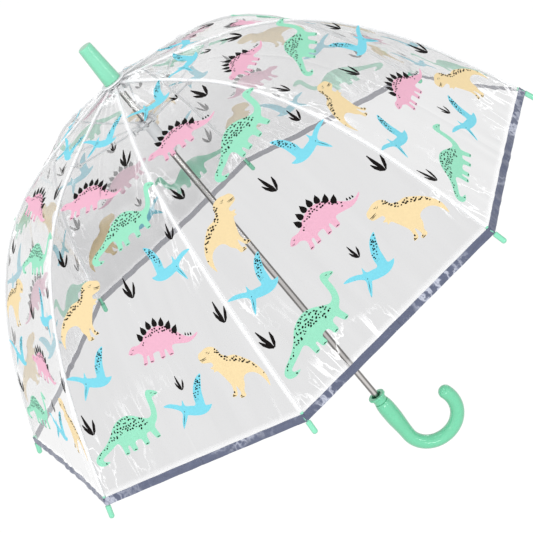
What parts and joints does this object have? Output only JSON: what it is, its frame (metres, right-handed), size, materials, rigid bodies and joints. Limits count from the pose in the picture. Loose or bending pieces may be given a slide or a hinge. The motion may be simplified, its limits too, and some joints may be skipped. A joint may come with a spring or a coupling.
{
  "type": "dome umbrella",
  "caption": "Child's stick umbrella with a deep clear printed dome on curved ribs, a sliding runner and a crook handle.",
  "frame": {"origin": "on the shaft axis, halfway up the handle's straight grip", "axes": "+Z along the shaft to the ferrule, +X the way the crook turns"},
  "size_m": [0.7182, 0.7182, 0.66],
  "materials": {
    "steel": "bright chromed tube",
    "wire": "plain wire",
    "spring_steel": "plain spring steel",
    "white_plastic": "satin white moulding",
    "white_paint": "white coated wire",
    "mint_plastic": "glossy mint moulding",
    "film": "clear glossy film, printed",
    "binding": "grey binding tape under gloss"
  },
  "bodies": {
    "stick": {"shaft": "steel", "crown": "white_plastic", "crown_wire": "wire", "cap_washer": "white_plastic", "ferrule": "mint_plastic", "stop_pin": "wire", "handle_cup": "mint_plastic", "handle": "mint_plastic"},
    "runner": {"runner": "white_plastic", "runner_wire": "wire"},
    "catch": {"top_catch": "spring_steel"},
    "rib_body_1": {"rib_1": "white_paint", "clip_1": "white_plastic", "tip_1": "mint_plastic"},
    "stretcher_body_1": {"stretcher_1": "white_paint"},
    "rib_body_2": {"rib_2": "white_paint", "clip_2": "white_plastic", "tip_2": "mint_plastic"},
    "stretcher_body_2": {"stretcher_2": "white_paint"},
    "rib_body_3": {"rib_3": "white_paint", "clip_3": "white_plastic", "tip_3": "mint_plastic"},
    "stretcher_body_3": {"stretcher_3": "white_paint"},
    "rib_body_4": {"rib_4": "white_paint", "clip_4": "white_plastic", "tip_4": "mint_plastic"},
    "stretcher_body_4": {"stretcher_4": "white_paint"},
    "rib_body_5": {"rib_5": "white_paint", "clip_5": "white_plastic", "tip_5": "mint_plastic"},
    "stretcher_body_5": {"stretcher_5": "white_paint"},
    "rib_body_6": {"rib_6": "white_paint", "clip_6": "white_plastic", "tip_6": "mint_plastic"},
    "stretcher_body_6": {"stretcher_6": "white_paint"},
    "rib_body_7": {"rib_7": "white_paint", "clip_7": "white_plastic", "tip_7": "mint_plastic"},
    "stretcher_body_7": {"stretcher_7": "white_paint"},
    "rib_body_8": {"rib_8": "white_paint", "clip_8": "white_plastic", "tip_8": "mint_plastic"},
    "stretcher_body_8": {"stretcher_8": "white_paint"},
    "gore_body_1": {"film_1": "film"},
    "hem_body_1": {"binding_1": "binding"},
    "gore_body_2": {"film_2": "film"},
    "hem_body_2": {"binding_2": "binding"},
    "gore_body_3": {"film_3": "film"},
    "hem_body_3": {"binding_3": "binding"},
    "gore_body_4": {"film_4": "film"},
    "hem_body_4": {"binding_4": "binding"},
    "gore_body_5": {"film_5": "film"},
    "hem_body_5": {"binding_5": "binding"},
    "gore_body_6": {"film_6": "film"},
    "hem_body_6": {"binding_6": "binding"},
    "gore_body_7": {"film_7": "film"},
    "hem_body_7": {"binding_7": "binding"},
    "gore_body_8": {"film_8": "film"},
    "hem_body_8": {"binding_8": "binding"}
  },
  "joints": [
    {"name": "runner_slide", "type": "slide", "parent": "stick", "child": "runner", "axis": [0, 0, -1], "range_m": [0, 0.1314], "deforming": ["film_1", "film_2", "film_3", "film_4", "film_5", "film_6", "film_7", "film_8", "binding_1", "binding_2", "binding_3", "binding_4", "binding_5", "binding_6", "binding_7", "binding_8", "top_catch"]},
    {"name": "rib_1_hinge", "type": "hinge", "parent": "stick", "child": "rib_body_1", "pos_m": [0.009, 0, 0.53225], "axis": [0, 1, 0], "range_deg": [0, 48.89]},
    {"name": "stretcher_1_hinge", "type": "hinge", "parent": "runner", "child": "stretcher_body_1", "pos_m": [0.009, 0, 0.47725], "axis": [0, -1, 0], "range_deg": [0, 46.56]},
    {"name": "rib_2_hinge", "type": "hinge", "parent": "stick", "child": "rib_body_2", "pos_m": [0.00636, 0.00636, 0.53225], "axis": [-0.7071, 0.7071, 0], "range_deg": [0, 48.89]},
    {"name": "stretcher_2_hinge", "type": "hinge", "parent": "runner", "child": "stretcher_body_2", "pos_m": [0.00636, 0.00636, 0.47725], "axis": [0.7071, -0.7071, 0], "range_deg": [0, 46.56]},
    {"name": "rib_3_hinge", "type": "hinge", "parent": "stick", "child": "rib_body_3", "pos_m": [0, 0.009, 0.53225], "axis": [-1, 0, 0], "range_deg": [0, 48.89]},
    {"name": "stretcher_3_hinge", "type": "hinge", "parent": "runner", "child": "stretcher_body_3", "pos_m": [0, 0.009, 0.47725], "axis": [1, 0, 0], "range_deg": [0, 46.56]},
    {"name": "rib_4_hinge", "type": "hinge", "parent": "stick", "child": "rib_body_4", "pos_m": [-0.00636, 0.00636, 0.53225], "axis": [-0.7071, -0.7071, 0], "range_deg": [0, 48.89]},
    {"name": "stretcher_4_hinge", "type": "hinge", "parent": "runner", "child": "stretcher_body_4", "pos_m": [-0.00636, 0.00636, 0.47725], "axis": [0.7071, 0.7071, 0], "range_deg": [0, 46.56]},
    {"name": "rib_5_hinge", "type": "hinge", "parent": "stick", "child": "rib_body_5", "pos_m": [-0.009, 0, 0.53225], "axis": [0, -1, 0], "range_deg": [0, 48.89]},
    {"name": "stretcher_5_hinge", "type": "hinge", "parent": "runner", "child": "stretcher_body_5", "pos_m": [-0.009, 0, 0.47725], "axis": [0, 1, 0], "range_deg": [0, 46.56]},
    {"name": "rib_6_hinge", "type": "hinge", "parent": "stick", "child": "rib_body_6", "pos_m": [-0.00636, -0.00636, 0.53225], "axis": [0.7071, -0.7071, 0], "range_deg": [0, 48.89]},
    {"name": "stretcher_6_hinge", "type": "hinge", "parent": "runner", "child": "stretcher_body_6", "pos_m": [-0.00636, -0.00636, 0.47725], "axis": [-0.7071, 0.7071, 0], "range_deg": [0, 46.56]},
    {"name": "rib_7_hinge", "type": "hinge", "parent": "stick", "child": "rib_body_7", "pos_m": [0, -0.009, 0.53225], "axis": [1, 0, 0], "range_deg": [0, 48.89]},
    {"name": "stretcher_7_hinge", "type": "hinge", "parent": "runner", "child": "stretcher_body_7", "pos_m": [0, -0.009, 0.47725], "axis": [-1, 0, 0], "range_deg": [0, 46.56]},
    {"name": "rib_8_hinge", "type": "hinge", "parent": "stick", "child": "rib_body_8", "pos_m": [0.00636, -0.00636, 0.53225], "axis": [0.7071, 0.7071, 0], "range_deg": [0, 48.89]},
    {"name": "stretcher_8_hinge", "type": "hinge", "parent": "runner", "child": "stretcher_body_8", "pos_m": [0.00636, -0.00636, 0.47725], "axis": [-0.7071, -0.7071, 0], "range_deg": [0, 46.56]},
    {"name": "gore_1_fold", "type": "hinge", "parent": "rib_body_1", "child": "gore_body_1", "pos_m": [0.009, 0, 0.53225], "axis": [-0.8743, -0.2789, -0.3972], "range_deg": [0, 18.29]},
    {"name": "hem_1_fold", "type": "hinge", "parent": "rib_body_2", "child": "hem_body_1", "pos_m": [0.00636, 0.00636, 0.53225], "axis": [0.8154, 0.421, 0.3972], "range_deg": [0, 18.29]},
    {"name": "gore_2_fold", "type": "hinge", "parent": "rib_body_2", "child": "gore_body_2", "pos_m": [0.00636, 0.00636, 0.53225], "axis": [-0.421, -0.8154, -0.3972], "range_deg": [0, 18.29]},
    {"name": "hem_2_fold", "type": "hinge", "parent": "rib_body_3", "child": "hem_body_2", "pos_m": [0, 0.009, 0.53225], "axis": [0.2789, 0.8743, 0.3972], "range_deg": [0, 18.29]},
    {"name": "gore_3_fold", "type": "hinge", "parent": "rib_body_3", "child": "gore_body_3", "pos_m": [0, 0.009, 0.53225], "axis": [0.2789, -0.8743, -0.3972], "range_deg": [0, 18.29]},
    {"name": "hem_3_fold", "type": "hinge", "parent": "rib_body_4", "child": "hem_body_3", "pos_m": [-0.00636, 0.00636, 0.53225], "axis": [-0.421, 0.8154, 0.3972], "range_deg": [0, 18.29]},
    {"name": "gore_4_fold", "type": "hinge", "parent": "rib_body_4", "child": "gore_body_4", "pos_m": [-0.00636, 0.00636, 0.53225], "axis": [0.8154, -0.421, -0.3972], "range_deg": [0, 18.29]},
    {"name": "hem_4_fold", "type": "hinge", "parent": "rib_body_5", "child": "hem_body_4", "pos_m": [-0.009, 0, 0.53225], "axis": [-0.8743, 0.2789, 0.3972], "range_deg": [0, 18.29]},
    {"name": "gore_5_fold", "type": "hinge", "parent": "rib_body_5", "child": "gore_body_5", "pos_m": [-0.009, 0, 0.53225], "axis": [0.8743, 0.2789, -0.3972], "range_deg": [0, 18.29]},
    {"name": "hem_5_fold", "type": "hinge", "parent": "rib_body_6", "child": "hem_body_5", "pos_m": [-0.00636, -0.00636, 0.53225], "axis": [-0.8154, -0.421, 0.3972], "range_deg": [0, 18.29]},
    {"name": "gore_6_fold", "type": "hinge", "parent": "rib_body_6", "child": "gore_body_6", "pos_m": [-0.00636, -0.00636, 0.53225], "axis": [0.421, 0.8154, -0.3972], "range_deg": [0, 18.29]},
    {"name": "hem_6_fold", "type": "hinge", "parent": "rib_body_7", "child": "hem_body_6", "pos_m": [0, -0.009, 0.53225], "axis": [-0.2789, -0.8743, 0.3972], "range_deg": [0, 18.29]},
    {"name": "gore_7_fold", "type": "hinge", "parent": "rib_body_7", "child": "gore_body_7", "pos_m": [0, -0.009, 0.53225], "axis": [-0.2789, 0.8743, -0.3972], "range_deg": [0, 18.29]},
    {"name": "hem_7_fold", "type": "hinge", "parent": "rib_body_8", "child": "hem_body_7", "pos_m": [0.00636, -0.00636, 0.53225], "axis": [0.421, -0.8154, 0.3972], "range_deg": [0, 18.29]},
    {"name": "gore_8_fold", "type": "hinge", "parent": "rib_body_8", "child": "gore_body_8", "pos_m": [0.00636, -0.00636, 0.53225], "axis": [-0.8154, 0.421, -0.3972], "range_deg": [0, 18.29]},
    {"name": "hem_8_fold", "type": "hinge", "parent": "rib_body_1", "child": "hem_body_8", "pos_m": [0.009, 0, 0.53225], "axis": [0.8743, -0.2789, 0.3972], "range_deg": [0, 18.29]},
    {"name": "catch_press", "type": "slide", "parent": "stick", "child": "catch", "axis": [-0.9239, -0.3827, 0], "range_m": [0, 0.0024], "stiffness_N_per_m": 600}
  ],
  "couplings": [
    {"joint": "rib_1_hinge", "follows": "runner_slide", "rad_per_m": 6.4906},
    {"joint": "stretcher_1_hinge", "follows": "runner_slide", "rad_per_m": 6.1822},
    {"joint": "rib_2_hinge", "follows": "runner_slide", "rad_per_m": 6.4906},
    {"joint": "stretcher_2_hinge", "follows": "runner_slide", "rad_per_m": 6.1822},
    {"joint": "rib_3_hinge", "follows": "runner_slide", "rad_per_m": 6.4906},
    {"joint": "stretcher_3_hinge", "follows": "runner_slide", "rad_per_m": 6.1822},
    {"joint": "rib_4_hinge", "follows": "runner_slide", "rad_per_m": 6.4906},
    {"joint": "stretcher_4_hinge", "follows": "runner_slide", "rad_per_m": 6.1822},
    {"joint": "rib_5_hinge", "follows": "runner_slide", "rad_per_m": 6.4906},
    {"joint": "stretcher_5_hinge", "follows": "runner_slide", "rad_per_m": 6.1822},
    {"joint": "rib_6_hinge", "follows": "runner_slide", "rad_per_m": 6.4906},
    {"joint": "stretcher_6_hinge", "follows": "runner_slide", "rad_per_m": 6.1822},
    {"joint": "rib_7_hinge", "follows": "runner_slide", "rad_per_m": 6.4906},
    {"joint": "stretcher_7_hinge", "follows": "runner_slide", "rad_per_m": 6.1822},
    {"joint": "rib_8_hinge", "follows": "runner_slide", "rad_per_m": 6.4906},
    {"joint": "stretcher_8_hinge", "follows": "runner_slide", "rad_per_m": 6.1822},
    {"joint": "gore_1_fold", "follows": "runner_slide", "rad_per_m": 2.4267},
    {"joint": "hem_1_fold", "follows": "runner_slide", "rad_per_m": 2.4267},
    {"joint": "gore_2_fold", "follows": "runner_slide", "rad_per_m": 2.4267},
    {"joint": "hem_2_fold", "follows": "runner_slide", "rad_per_m": 2.4267},
    {"joint": "gore_3_fold", "follows": "runner_slide", "rad_per_m": 2.4267},
    {"joint": "hem_3_fold", "follows": "runner_slide", "rad_per_m": 2.4267},
    {"joint": "gore_4_fold", "follows": "runner_slide", "rad_per_m": 2.4267},
    {"joint": "hem_4_fold", "follows": "runner_slide", "rad_per_m": 2.4267},
    {"joint": "gore_5_fold", "follows": "runner_slide", "rad_per_m": 2.4267},
    {"joint": "hem_5_fold", "follows": "runner_slide", "rad_per_m": 2.4267},
    {"joint": "gore_6_fold", "follows": "runner_slide", "rad_per_m": 2.4267},
    {"joint": "hem_6_fold", "follows": "runner_slide", "rad_per_m": 2.4267},
    {"joint": "gore_7_fold", "follows": "runner_slide", "rad_per_m": 2.4267},
    {"joint": "hem_7_fold", "follows": "runner_slide", "rad_per_m": 2.4267},
    {"joint": "gore_8_fold", "follows": "runner_slide", "rad_per_m": 2.4267},
    {"joint": "hem_8_fold", "follows": "runner_slide", "rad_per_m": 2.4267}
  ]
}
